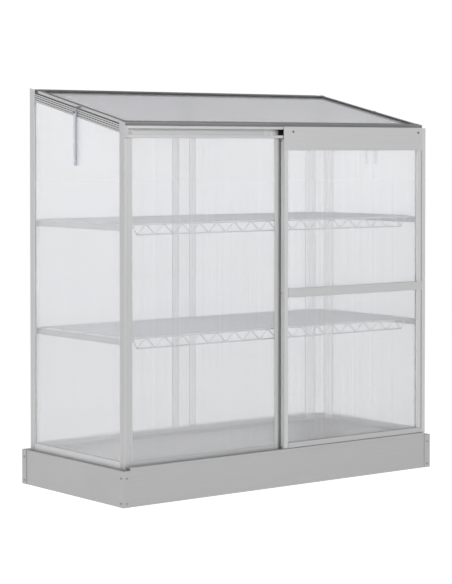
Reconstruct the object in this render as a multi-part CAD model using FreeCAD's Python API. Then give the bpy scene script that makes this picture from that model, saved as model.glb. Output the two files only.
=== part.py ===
import FreeCAD, Part
import math
import os

os.makedirs("parts", exist_ok=True)

V = FreeCAD.Vector

# Overall size, in mm: X to the right, Y to the back, Z up, origin under the middle of the base
base_width = 1270.0
base_depth = 570.0
base_height = 111.0
back_height = 1275.0
roof_angle = 12.25
touch = 0.2

# Base boards, corner angles and their screws
board_sheet = 2.0
flange_spare = 3.5
board_bottom_flange = 30.0
corner_leg = 25.0
corner_sheet = 1.5
screw_from_corner = 13.0
screw_low = 12.0
screw_below_top = 23.0
screw_head_radius = 3.0
screw_head_height = 1.8
screw_shank_radius = 1.7
screw_shank_length = 7.0
hole_clearance = 0.05

# Twin-wall sheets and the extrusions that hold them
sheet = 4.0
sheet_clearance = 0.3
sheet_end_gap = 0.5
skin = 2.0
inner_wall = 1.6
post_leg = 28.0
core_spare = 1.8
rib_depth = 0.7
rib_width = 1.5
bottom_rail_height = 22.0
top_rail_height = 25.0
top_rail_width = 16.0
top_rail_slot = 4.8
top_rail_groove = 2.2
top_rail_groove_heights = (7.0, 20.3)
top_rail_groove_depth = 6.0
skin_groove_height = 2.0
skin_groove_depth = 1.4
pivot_groove_height = 13.8
pivot_groove = 2.6
pivot_groove_depth = 7.0

# Bottom track in front of the posts
track_height = 8.4
track_wall = 1.4
track_ribs = 2
track_gap = 0.3
guide_groove = 1
guide_fin = 2.4
guide_reach = 6.0

# Header with the roller channel
header_depth = 33.0
header_wall = 2.0
header_floor = 9.2
lip_gap = 3.1
roller_top_gap = 1.9
header_slot = 5.0
end_plate = 2.0

# Front and back mullions and the closing jamb
mullion_face = 13.4
mullion_hold = 10.5
mullion_step = 7.0
seal_channel_middle = -5.0
seal_channel = 26.0
back_mullion_width = 28.0
jamb_width = 16.0
jamb_wall = 2.0

# Lid and its hinge bead
lid_seat = 0.6
lid_side_gap = 1.2
lid_end_gap = 3.3
lid_set_back = 3.0
lid_rail = 25.0
lid_side_rail = 18.0
lid_rebate = 4.0
lid_lip = 8.5
lid_sheet_drop = 4.5
lid_floor = 1.7
lid_slot = 8.0
hinge_from_back = 9.0
hinge_below_top = 7.0
bead_radius = 4.0
bead_clearance = 0.1
socket_wall = 2.0
neck = 2.4
neck_reach = 8.0
lid_opening = 75.0
opening_spare = 6.0
back_rail_slot = 14.0
back_rail_bridge = 2.0
back_rail_below_hinge = 14.0
web_half = 2.0

# Prop stays, their pivot bolts and the pegs on the lid
stay_pivot_y = -3.0
stay_width = 11.0
stay_thickness = 6.0
stay_stand_off = 1.0
stay_above = 8.0
stay_reach = 166.5
stay_notches = (92.0, 149.5)
stay_notch_width = 5.6
stay_notch_depth = 6.5
stay_eye = 158.0
stay_eye_radius = 2.2
bolt_radius = 2.5
bolt_head_radius = 4.0
bolt_head_height = 1.8
running_fit = 0.05
bolt_depth = 12.0
head_gap = 0.4
peg_ahead = 14.0
peg_radius = 2.5
peg_head_radius = 3.2
peg_head_height = 1.5
peg_depth = 8.0
peg_below_top = 4.0

# Sliding door
door_overlap = 16.2
closing_gap = 2.0
door_set_back = 2.5
door_gap = 1.5
door_behind = 3.0
door_plate = 2.0
overlay_plate = 1.5
stile_face = 15.8
stile_groove = 2.2
stile_edge = 1.2
stile_depth = 13.0
stile_groove_depth = 6.0
stile_back_wall = 2.0
stile_slot = 8.0
door_above_track = 1.4
door_below_header = 2.5
head_board_drop = 35.8
board_above_header = 1.3
head_rail = 20.0
mid_rail_height = 507.4
mid_rail = 28.2
bottom_rail = 16.5
roller_radius = 11.4
roller_width = 8.0
roller_lift = 0.1
roller_from_edge = (38.8, 18.0)
roller_side_gap = 0.7
roller_bolt_head_radius = 3.3
roller_bolt_head_height = 1.5
roller_collar_radius = 4.2
roller_collar = 2.5
collar_gap = 0.3
door_screw_radius = 1.5
door_screw_head_radius = 2.4
door_screw_head_height = 1.0
door_screw_length = 31.0
door_screw_set_back = 9.5

# Wire shelves and their side supports
shelf_heights = (739.5, 392.5)
chord_radius = 2.5
wire_radius = 1.75
wire_pitch = 20.0
weld = 0.4
shelf_end_gap = 1.0
shelf_from_front = 33.0
shelf_from_back = 25.0
shelf_overhang = 4.0
long_rods = 4
truss_depth = 31.0
truss_inset = 11.0
truss_leg = 18.0
truss_pitch = 68.5
truss_wire_radius = 2.0
support_from_post = 19.0
support_sheet = 2.0
support_height = 20.0
support_ledge = 16.0
support_upstand = 3.0

# Sizes that follow from the ones above
frame_inset = door_set_back + overlay_plate + stile_depth + door_behind
half_width = base_width / 2 - frame_inset
half_depth = base_depth / 2 - frame_inset
slope = math.tan(math.radians(roof_angle))
steep = math.cos(math.radians(roof_angle))
lean = math.sin(math.radians(roof_angle))
slot = sheet + 2 * sheet_clearance
wall_depth = skin + slot + inner_wall
post_core = wall_depth + core_spare
leg_end_x = half_width - post_leg
leg_end_y = half_depth - post_leg
base_front = -base_depth / 2
base_side = base_width / 2
board_out_x = base_side - corner_sheet
board_top_flange = frame_inset + post_leg + flange_spare - corner_sheet
board_out_y = base_depth / 2 - corner_sheet
between_x = leg_end_x - touch
between_y = leg_end_y - touch


def roof_z(y, below):
    return back_height - (half_depth - y) * slope - below / steep


hinge_y = half_depth - hinge_from_back
hinge_z = roof_z(hinge_y, hinge_below_top)
lid_thickness = lid_sheet_drop + sheet + sheet_clearance + lid_floor
lid_half_width = half_width - skin - lid_end_gap
lid_front = -half_depth + lid_set_back
lid_under = lid_thickness - hinge_below_top
lid_reach = (hinge_y - lid_front - hinge_below_top * lean) / steep
header_top = hinge_z - lid_reach * lean - lid_under * steep - lid_seat
header_height = header_floor + roller_lift + 2 * roller_radius + roller_top_gap + header_wall
header_lip = header_wall + roller_top_gap + roller_radius - roller_collar_radius - lip_gap
header_bottom = header_top - header_height
door_back = -half_depth - door_behind
door_front = door_back - stile_depth
header_front = door_front + door_gap
header_back = header_front + header_depth
track_floor = header_bottom + header_floor
channel_left = seal_channel_middle - seal_channel / 2
mullion_left = channel_left - mullion_face
mullion_right = seal_channel_middle + seal_channel / 2
door_left = mullion_right - door_overlap
door_right = half_width - jamb_width - closing_gap
track_top = base_height + track_height
door_bottom = track_top + door_above_track
door_top = header_bottom - door_below_header
stile_width = stile_face + stile_groove + stile_edge
pane_back = door_back - stile_back_wall
roller_z = track_floor + roller_radius + roller_lift
roller_front = header_front + header_wall + roller_side_gap
roller_xs = (door_left + roller_from_edge[0], door_right - roller_from_edge[1])
rail_top_drop = lid_thickness + lid_side_gap
stay_inner = half_width + stay_stand_off
stay_outer = stay_inner + stay_thickness


def rail_base(y):
    return roof_z(y, rail_top_drop) - top_rail_height


pivot_z = rail_base(stay_pivot_y) + pivot_groove_height


def box(x0, x1, y0, y1, z0, z1):
    return Part.makeBox(x1 - x0, y1 - y0, z1 - z0, V(x0, y0, z0))


def face_of(points):
    return Part.Face(Part.makePolygon(points + [points[0]]))


def bar_x(outline, x0, x1):
    return face_of([V(x0, y, z) for y, z in outline]).extrude(V(x1 - x0, 0, 0))


def bar_y(outline, y0, y1):
    return face_of([V(x, y0, z) for x, z in outline]).extrude(V(0, y1 - y0, 0))


def bar_z(outline, z0, z1):
    return face_of([V(x, y, z0) for x, y in outline]).extrude(V(0, 0, z1 - z0))


def rod(start, end, radius):
    run = end - start
    return Part.makeCylinder(radius, run.Length, start, run)


def join(shapes):
    return shapes[0].multiFuse(shapes[1:]).removeSplitter()


def other_side(shape):
    return shape.mirror(V(0, 0, 0), V(1, 0, 0))


def other_end(shape):
    return shape.mirror(V(0, 0, 0), V(0, 1, 0))


def save(name, *solids):
    shape = solids[0] if len(solids) == 1 else Part.makeCompound(list(solids))
    shape.exportStep("parts/" + name + ".step")


def screw(point, inward, head_radius, head_height, shank_radius, shank_length):
    head = Part.makeCylinder(head_radius, head_height, point, inward * -1)
    shank = Part.makeCylinder(shank_radius, shank_length, point, inward)
    return head.fuse(shank).removeSplitter()


# Base screws: two through each leg of every corner angle
screw_points = []
for sign_x in (-1, 1):
    for sign_y in (-1, 1):
        for z in (screw_low, base_height - screw_below_top):
            on_front = V(sign_x * (base_side - screw_from_corner), sign_y * base_depth / 2, z)
            on_side = V(sign_x * base_side, sign_y * (base_depth / 2 - screw_from_corner), z)
            screw_points.append((on_front, V(0, -sign_y, 0)))
            screw_points.append((on_side, V(-sign_x, 0, 0)))
base_screws = []
screw_holes = []
for point, inward in screw_points:
    base_screws.append(screw(point, inward, screw_head_radius, screw_head_height,
                             screw_shank_radius, screw_shank_length))
    screw_holes.append(Part.makeCylinder(screw_shank_radius + hole_clearance, screw_shank_length,
                                         point, inward))
save("base_screws", *base_screws)
all_holes = Part.makeCompound(screw_holes)

# Base boards: folded sheets with a flange inwards at the top and the bottom
front_edge = -board_out_y
board_section = [
    (front_edge, 0),
    (front_edge + board_bottom_flange, 0),
    (front_edge + board_bottom_flange, board_sheet),
    (front_edge + board_sheet, board_sheet),
    (front_edge + board_sheet, base_height - board_sheet),
    (front_edge + board_top_flange, base_height - board_sheet),
    (front_edge + board_top_flange, base_height),
    (front_edge, base_height),
]
front_board = bar_x(board_section, -board_out_x, board_out_x)
save("base_front_board", front_board.cut(all_holes))
save("base_back_board", other_end(front_board).cut(all_holes))
web_end = board_out_y - board_sheet - touch
top_end = board_out_y - board_top_flange - touch
bottom_end = board_out_y - board_bottom_flange - touch
left_board = join([
    box(-board_out_x, -board_out_x + board_sheet, -web_end, web_end,
        board_sheet + touch, base_height - board_sheet - touch),
    box(-board_out_x, -board_out_x + board_sheet, -top_end, top_end, base_height / 2, base_height),
    box(-board_out_x, -board_out_x + board_sheet, -bottom_end, bottom_end, 0, base_height / 2),
    box(-board_out_x, -board_out_x + board_top_flange, -top_end, top_end,
        base_height - board_sheet, base_height),
    box(-board_out_x, -board_out_x + board_bottom_flange, -bottom_end, bottom_end, 0, board_sheet),
])
save("base_left_board", left_board.cut(all_holes))
save("base_right_board", other_side(left_board).cut(all_holes))

# Base corner angles outside the boards
corner = bar_z([
    (-base_side, base_front),
    (-base_side + corner_leg, base_front),
    (-base_side + corner_leg, base_front + corner_sheet),
    (-base_side + corner_sheet, base_front + corner_sheet),
    (-base_side + corner_sheet, base_front + corner_leg),
    (-base_side, base_front + corner_leg),
], 0, base_height)
save("base_corner_front_left", corner.cut(all_holes))
save("base_corner_front_right", other_side(corner).cut(all_holes))
save("base_corner_back_left", other_end(corner).cut(all_holes))
save("base_corner_back_right", other_side(other_end(corner)).cut(all_holes))

# Corner posts: an outer skin, a core and two inner walls that leave a slot for each sheet
tall = back_height + post_leg


def under_roof(below):
    far = base_depth
    outline = [(-far, 0), (far, 0), (far, roof_z(far, below)), (-far, roof_z(-far, below))]
    return bar_x(outline, -base_width, base_width)


def left_post(at_front):
    low = base_height
    pieces = [
        box(-half_width, -leg_end_x, -half_depth, -half_depth + skin, low, tall),
        box(-half_width, -half_width + skin, -half_depth, -leg_end_y, low, tall),
        box(-half_width, -half_width + post_core, -half_depth, -half_depth + post_core, low, tall),
        box(-half_width + post_core, -leg_end_x, -half_depth + skin + slot,
            -half_depth + wall_depth, low, tall),
        box(-half_width + skin + slot, -half_width + wall_depth, -half_depth + post_core,
            -leg_end_y, low, tall),
    ]
    body = join(pieces)
    ridge = box(-half_width, -half_width + skin, -half_depth, -leg_end_y, low, tall)
    for third in (1, 2):
        middle = third * post_leg / 3
        x = -half_width + middle
        y = -half_depth + middle
        body = body.cut(box(x - rib_width / 2, x + rib_width / 2, -half_depth,
                            -half_depth + rib_depth, low, tall))
        groove = box(-half_width, -half_width + rib_depth, y - rib_width / 2, y + rib_width / 2,
                     low, tall)
        body = body.cut(groove)
        ridge = ridge.cut(groove)
    if not at_front:
        body = other_end(body)
        ridge = other_end(ridge)
    body = body.common(under_roof(rail_top_drop))
    ridge = ridge.common(under_roof(0))
    return body.fuse(ridge).removeSplitter()


front_left_post = left_post(True)
back_left_post = left_post(False)
save("post_front_left", front_left_post)
save("post_front_right", other_side(front_left_post))
save("post_back_left", back_left_post)
save("post_back_right", other_side(back_left_post))

# Bottom rails: channels open at the top, between the posts
rail_top = base_height + bottom_rail_height


def channel(outside, inwards):
    outer = outside + inwards * skin
    inner = outside + inwards * (skin + slot)
    inside = outside + inwards * wall_depth
    return [
        (outside, base_height),
        (inside, base_height),
        (inside, rail_top),
        (inner, rail_top),
        (inner, base_height + skin),
        (outer, base_height + skin),
        (outer, rail_top),
        (outside, rail_top),
    ]


left_bottom_rail = bar_y(channel(-half_width, 1), -between_y, between_y)
save("bottom_rail_left", left_bottom_rail)
save("bottom_rail_right", other_side(left_bottom_rail))
save("bottom_rail_back", bar_x(channel(half_depth, -1), -between_x, between_x))
save("bottom_rail_front", bar_x(channel(-half_depth, 1), -between_x, mullion_left - touch))

# Bottom track: a ribbed trough on the front board, with a groove for the fin under the door
track_back = -half_depth - track_gap
track_half = base_side - corner_leg - touch
wall_step = (track_back - base_front - track_wall) / (track_ribs + 1)
guide_y = base_front + track_wall / 2 + (guide_groove + 0.5) * wall_step
track = [box(-track_half, track_half, base_front, track_back, base_height, base_height + track_wall)]
for k in range(track_ribs + 2):
    y = base_front + k * wall_step
    track.append(box(-track_half, track_half, y, y + track_wall, base_height, track_top))
save("bottom_track", join(track))

# Side top rails: sloping between the posts, ribbed outside, slotted below for the side sheets


def sloping_bar(x0, x1, low, high):
    outline = [
        (-between_y, rail_base(-between_y) + low),
        (between_y, rail_base(between_y) + low),
        (between_y, rail_base(between_y) + high),
        (-between_y, rail_base(-between_y) + high),
    ]
    return bar_x(outline, x0, x1)


def groove_in_rail(middle, width, depth):
    return sloping_bar(-half_width, -half_width + depth, middle - width / 2, middle + width / 2)


top_rail = sloping_bar(-half_width, -half_width + top_rail_width, 0, top_rail_height)
top_rail = top_rail.cut(sloping_bar(-half_width + skin, -half_width + skin + slot, 0, top_rail_slot))
for height in top_rail_groove_heights:
    top_rail = top_rail.cut(groove_in_rail(height, top_rail_groove, top_rail_groove_depth))
top_rail = top_rail.cut(groove_in_rail(skin_groove_height, top_rail_groove, skin_groove_depth))
top_rail = top_rail.cut(groove_in_rail(pivot_groove_height, pivot_groove, pivot_groove_depth))
bolt_hole = rod(V(-half_width, stay_pivot_y, pivot_z), V(-half_width + bolt_depth, stay_pivot_y, pivot_z),
                bolt_radius + hole_clearance)
top_rail = top_rail.cut(bolt_hole)
save("top_rail_left", top_rail)
save("top_rail_right", other_side(top_rail))

# Header: a channel open to the front for the rollers, with a slot below for the fixed sheet
header = bar_x([
    (header_front, header_bottom),
    (header_back, header_bottom),
    (header_back, header_top),
    (header_front, header_top),
    (header_front, header_top - header_lip),
    (header_front + header_wall, header_top - header_lip),
    (header_front + header_wall, header_top - header_wall),
    (header_back - header_wall, header_top - header_wall),
    (header_back - header_wall, track_floor),
    (header_front, track_floor),
], -half_width + end_plate, half_width - end_plate)
post_room = box(between_x, half_width, -half_depth - touch, header_back, header_bottom, header_top)
header = header.cut(post_room).cut(other_side(post_room))
header = header.cut(box(-between_x, between_x, -half_depth + skin, -half_depth + skin + slot,
                        header_bottom, header_bottom + header_slot))
save("front_header", header)
left_end_plate = box(-half_width, -half_width + end_plate, header_front, -half_depth - touch,
                     header_bottom, header_top)
save("track_end_plates", left_end_plate, other_side(left_end_plate))

# Back top rail: the channel for the back sheets with the hinge socket above it
socket_radius = bead_radius + bead_clearance
ring_radius = socket_radius + socket_wall
bridge_top = hinge_z - back_rail_below_hinge
bridge_low = bridge_top - back_rail_bridge
slot_low = bridge_low - back_rail_slot
wall_inside = half_depth - wall_depth
web_front = min(hinge_y - web_half, wall_inside)
back_rail = join([
    box(-between_x, between_x, half_depth - skin, half_depth, slot_low, bridge_top),
    box(-between_x, between_x, wall_inside, wall_inside + inner_wall, slot_low, bridge_top),
    box(-between_x, between_x, web_front, half_depth, bridge_low, bridge_top),
    box(-between_x, between_x, hinge_y - web_half, hinge_y + web_half, bridge_low,
        hinge_z - socket_radius - socket_wall / 4),
    rod(V(-between_x, hinge_y, hinge_z), V(between_x, hinge_y, hinge_z), ring_radius),
])
back_rail = back_rail.cut(rod(V(-between_x, hinge_y, hinge_z), V(between_x, hinge_y, hinge_z),
                              socket_radius))
neck_angle = math.degrees(math.asin(neck / 2 / bead_radius))
mouth_low = math.radians(-roof_angle - neck_angle - opening_spare)
mouth_high = math.radians(-roof_angle + lid_opening + neck_angle + opening_spare)
mouth_middle = (mouth_low + mouth_high) / 2
mouth_reach = 2 * ring_radius
mouth = [(hinge_y, hinge_z)]
for angle in (mouth_low, mouth_middle, mouth_high):
    mouth.append((hinge_y - mouth_reach * math.cos(angle), hinge_z + mouth_reach * math.sin(angle)))
back_rail = back_rail.cut(bar_x(mouth, -between_x, between_x))
save("back_top_rail", back_rail)

# Front mullion: a face that holds the fixed sheet, beside an open channel that the door covers
front_face = -half_depth
front_mullion = join([
    box(mullion_left, channel_left, front_face, front_face + skin, base_height, header_bottom),
    box(mullion_left + mullion_step, mullion_right, front_face + skin + slot, front_face + wall_depth,
        base_height, header_bottom),
    box(channel_left - skin, channel_left, front_face, front_face + wall_depth,
        base_height, header_bottom),
    box(mullion_right - skin, mullion_right, front_face, front_face + wall_depth,
        base_height, header_bottom),
])
save("front_mullion", front_mullion)

# Back mullion between the two back sheets
half_mullion = back_mullion_width / 2
save("back_mullion", join([
    box(-half_mullion, half_mullion, half_depth - skin, half_depth, rail_top, slot_low),
    box(-half_mullion, half_mullion, wall_inside, wall_inside + inner_wall, rail_top, slot_low),
    box(-skin / 2, skin / 2, wall_inside, half_depth, rail_top, slot_low),
]))

# Closing jamb: a channel that the door shuts against, whose front runs up over the end of the header
jamb_left = half_width - jamb_width
jamb_back = -half_depth
jamb = box(jamb_left, half_width, door_front, jamb_back, track_top, header_top)
jamb = jamb.cut(box(jamb_left + jamb_wall, half_width - jamb_wall, door_front + jamb_wall, jamb_back,
                    track_top, header_top))
header_room = box(jamb_left - touch, half_width, header_front - touch, jamb_back,
                  header_bottom - touch, header_top)
save("door_jamb", jamb.cut(header_room))

# Fixed twin-wall sheets
sheet_low = base_height + skin + sheet_clearance
sheet_out_x = half_width - skin - sheet_clearance
sheet_out_y = half_depth - skin - sheet_clearance
sheet_end_x = half_width - post_core - sheet_end_gap
sheet_end_y = half_depth - post_core - sheet_end_gap
in_rail = top_rail_slot - sheet_end_gap
side_sheet = bar_x([
    (-sheet_end_y, sheet_low),
    (sheet_end_y, sheet_low),
    (sheet_end_y, rail_base(sheet_end_y) + in_rail),
    (-sheet_end_y, rail_base(-sheet_end_y) + in_rail),
], -sheet_out_x, -sheet_out_x + sheet)
save("side_panel_left", side_sheet)
save("side_panel_right", other_side(side_sheet))
back_sheet = box(-sheet_end_x, -skin / 2 - sheet_end_gap, sheet_out_y - sheet, sheet_out_y,
                 sheet_low, bridge_low - sheet_end_gap)
save("back_panel_left", back_sheet)
save("back_panel_right", other_side(back_sheet))
save("front_fixed_panel", box(-sheet_end_x, mullion_left + mullion_hold, -sheet_out_y,
                              -sheet_out_y + sheet, sheet_low,
                              header_bottom + header_slot - sheet_end_gap))

# Lid: built flat behind the hinge line, then laid down to the slope of the roof
lid_top = hinge_z + hinge_below_top
lid_low = lid_top - lid_thickness
lid_tip = hinge_y - lid_reach
lid_heel = hinge_y - neck_reach
pane_top = lid_top - lid_sheet_drop
slot_top = pane_top + sheet_clearance
slot_foot = pane_top - sheet - sheet_clearance
front_rail_back = lid_tip + lid_rail
back_rail_front = lid_heel - lid_rail
side_inner = lid_half_width - lid_side_rail


def lay(shape):
    laid = shape.copy()
    laid.rotate(V(0, hinge_y, hinge_z), V(1, 0, 0), roof_angle)
    return laid


lid_front_rail = box(-lid_half_width, lid_half_width, lid_tip, front_rail_back, lid_low, lid_top)
lid_front_rail = lid_front_rail.cut(box(-side_inner - lid_slot, side_inner + lid_slot,
                                        front_rail_back - lid_slot, front_rail_back,
                                        slot_foot, slot_top))
save("lid_front_rail", lay(lid_front_rail))

bead_half = between_x - touch
lid_back_rail = join([
    box(-lid_half_width, lid_half_width, back_rail_front, lid_heel, lid_low, lid_top),
    box(-bead_half, bead_half, lid_heel, hinge_y, hinge_z - neck / 2, hinge_z + neck / 2),
    rod(V(-bead_half, hinge_y, hinge_z), V(bead_half, hinge_y, hinge_z), bead_radius),
])
lid_back_rail = lid_back_rail.cut(box(-side_inner - lid_slot, side_inner + lid_slot,
                                      back_rail_front, back_rail_front + lid_slot,
                                      slot_foot, slot_top))
save("lid_back_rail", lay(lid_back_rail))

peg_y = hinge_y - (hinge_y - stay_pivot_y + peg_ahead) / steep
peg_z = lid_top - peg_below_top
peg_face = -lid_half_width
peg_tip = -stay_outer - head_gap
lid_side = box(-lid_half_width, -side_inner, front_rail_back, back_rail_front, lid_low, lid_top)
lid_side = lid_side.cut(box(-lid_half_width, -lid_half_width + lid_rebate, front_rail_back,
                            back_rail_front, lid_low, lid_top - lid_lip))
lid_side = lid_side.cut(box(-side_inner - lid_slot, -side_inner, front_rail_back, back_rail_front,
                            slot_foot, slot_top))
lid_side = lid_side.cut(rod(V(peg_face, peg_y, peg_z), V(peg_face + peg_depth, peg_y, peg_z),
                            peg_radius + hole_clearance))
left_lid_rail = lay(lid_side)
save("lid_left_rail", left_lid_rail)
save("lid_right_rail", other_side(left_lid_rail))
save("lid_pane", lay(box(-side_inner - lid_slot + sheet_end_gap, side_inner + lid_slot - sheet_end_gap,
                         front_rail_back - lid_slot + sheet_end_gap,
                         back_rail_front + lid_slot - sheet_end_gap,
                         pane_top - sheet, pane_top)))

left_peg = lay(join([
    rod(V(peg_face + peg_depth, peg_y, peg_z), V(peg_tip, peg_y, peg_z), peg_radius),
    rod(V(peg_tip, peg_y, peg_z), V(peg_tip - peg_head_height, peg_y, peg_z), peg_head_radius),
]))
save("lid_prop_pegs", left_peg, other_side(left_peg))

# Prop stays: notched bars that hang outside the side rails and swing up to catch the pegs
stay_half = stay_width / 2
stay_top = pivot_z + stay_above
stay_foot = pivot_z - stay_reach
stay_back = stay_pivot_y + stay_half
stay = join([
    box(-stay_outer, -stay_inner, stay_pivot_y - stay_half, stay_back,
        stay_foot + stay_half, stay_top - stay_half),
    rod(V(-stay_outer, stay_pivot_y, stay_foot + stay_half),
        V(-stay_inner, stay_pivot_y, stay_foot + stay_half), stay_half),
    rod(V(-stay_outer, stay_pivot_y, stay_top - stay_half),
        V(-stay_inner, stay_pivot_y, stay_top - stay_half), stay_half),
])
for drop in stay_notches:
    z = pivot_z - drop
    mouth_y = stay_back - stay_notch_depth + stay_notch_width / 2
    stay = stay.cut(box(-stay_outer, -stay_inner, mouth_y, stay_back,
                        z - stay_notch_width / 2, z + stay_notch_width / 2))
    stay = stay.cut(rod(V(-stay_outer, mouth_y, z), V(-stay_inner, mouth_y, z), stay_notch_width / 2))
stay = stay.cut(rod(V(-stay_outer, stay_pivot_y, pivot_z - stay_eye),
                    V(-stay_inner, stay_pivot_y, pivot_z - stay_eye), stay_eye_radius))
stay = stay.cut(rod(V(-stay_outer, stay_pivot_y, pivot_z), V(-stay_inner, stay_pivot_y, pivot_z),
                    bolt_radius + running_fit))
save("stay_left", stay)
save("stay_right", other_side(stay))
bolt_end = -half_width + bolt_depth
bolt_face = -stay_outer - head_gap
pivot_bolt = join([
    rod(V(bolt_end, stay_pivot_y, pivot_z), V(bolt_face, stay_pivot_y, pivot_z), bolt_radius),
    rod(V(bolt_face, stay_pivot_y, pivot_z), V(bolt_face - bolt_head_height, stay_pivot_y, pivot_z),
        bolt_head_radius),
])
save("stay_pivot_bolts", pivot_bolt, other_side(pivot_bolt))

# Door stiles: a slot inside for the panes and a narrow groove near the outer edge
inner_left = door_left + stile_width
inner_right = door_right - stile_width
pane_slot_front = pane_back - slot
mid_z = base_height + mid_rail_height
mid_low = mid_z - mid_rail / 2
mid_high = mid_z + mid_rail / 2
head_low = door_top - head_rail
foot_high = door_bottom + bottom_rail
screw_heights = (
    (head_low + stile_slot + door_top) / 2,
    mid_z,
    (door_bottom + foot_high - stile_slot) / 2,
)
screw_y = door_front + door_screw_set_back
door_screws = []
door_holes = []
for z in screw_heights:
    for edge, inward in ((door_left, V(1, 0, 0)), (door_right, V(-1, 0, 0))):
        at = V(edge, screw_y, z)
        door_screws.append(screw(at, inward, door_screw_head_radius, door_screw_head_height,
                                 door_screw_radius, door_screw_length))
        door_holes.append(Part.makeCylinder(door_screw_radius + hole_clearance, door_screw_length,
                                            at, inward))
save("door_screws", *door_screws)
door_bores = Part.makeCompound(door_holes)


def stile(edge, inwards):
    def across(start, end):
        return sorted((edge + inwards * start, edge + inwards * end))

    body = box(*across(0, stile_width), door_front, door_back, door_bottom, door_top)
    body = body.cut(box(*across(stile_width - stile_slot, stile_width), pane_slot_front, pane_back,
                        door_bottom, door_top))
    body = body.cut(box(*across(stile_edge, stile_edge + stile_groove), door_front,
                        door_front + stile_groove_depth, door_bottom, door_top))
    return body.cut(door_bores)


save("door_stile_left", stile(door_left, 1))
save("door_stile_right", stile(door_right, -1))

# Door cross rails: slotted bars between the stiles, each with a plate on its front
plate_front = door_front - door_plate
bolt_bores = Part.makeCompound([
    rod(V(x, plate_front, roller_z), V(x, door_front, roller_z), bolt_radius + running_fit)
    for x in roller_xs
])
head_board = join([
    box(door_left, door_right, plate_front, door_front, door_top - head_board_drop,
        header_top + board_above_header),
    box(inner_left, inner_right, door_front, door_back, head_low, door_top),
])
head_board = head_board.cut(box(inner_left, inner_right, pane_slot_front, pane_back,
                                head_low, head_low + stile_slot))
save("door_head_board", head_board.cut(bolt_bores).cut(door_bores))

overlay_front = door_front - overlay_plate
mid_bar = join([
    box(inner_left, door_right, overlay_front, door_front, mid_low, mid_high),
    box(inner_left, inner_right, door_front, door_back, mid_low, mid_high),
])
for low in (mid_low, mid_high - stile_slot):
    mid_bar = mid_bar.cut(box(inner_left, inner_right, pane_slot_front, pane_back,
                              low, low + stile_slot))
save("door_mid_rail", mid_bar.cut(door_bores))

foot_bar = join([
    box(inner_left, door_right, overlay_front, door_front, door_bottom, foot_high),
    box(inner_left, inner_right, door_front, door_back, door_bottom, foot_high),
    box(inner_left, inner_right, guide_y - guide_fin / 2, guide_y + guide_fin / 2,
        door_bottom - guide_reach, foot_high - stile_slot),
])
foot_bar = foot_bar.cut(box(inner_left, inner_right, pane_slot_front, pane_back,
                            foot_high - stile_slot, foot_high))
save("door_bottom_rail", foot_bar.cut(door_bores))

# Door panes
pane_left = inner_left - stile_slot + sheet_end_gap
pane_right = inner_right + stile_slot - sheet_end_gap
pane_face = pane_back - sheet_clearance
in_slot = stile_slot - sheet_end_gap
save("door_lower_pane", box(pane_left, pane_right, pane_face - sheet, pane_face,
                            foot_high - in_slot, mid_low + in_slot))
save("door_upper_pane", box(pane_left, pane_right, pane_face - sheet, pane_face,
                            mid_high - in_slot, head_low + in_slot))

# Rollers, each fixed on an axle bolt that turns in the head board
roller_back = roller_front + roller_width


def along_y(x, start, end, radius):
    return rod(V(x, start, roller_z), V(x, end, roller_z), radius)


axle_head = plate_front - collar_gap
axle_end = roller_back + roller_collar
for side, x in zip(("left", "right"), roller_xs):
    save("roller_axle_" + side, join([
        along_y(x, axle_head, axle_head - roller_bolt_head_height, roller_bolt_head_radius),
        along_y(x, axle_head, axle_end, bolt_radius),
        along_y(x, door_front + collar_gap, roller_front, roller_collar_radius),
        along_y(x, roller_back, axle_end, roller_collar_radius),
    ]))
    wheel = along_y(x, roller_front, roller_back, roller_radius)
    save("roller_" + side, wheel.cut(along_y(x, roller_front, roller_back,
                                             bolt_radius + hole_clearance)))

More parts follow.
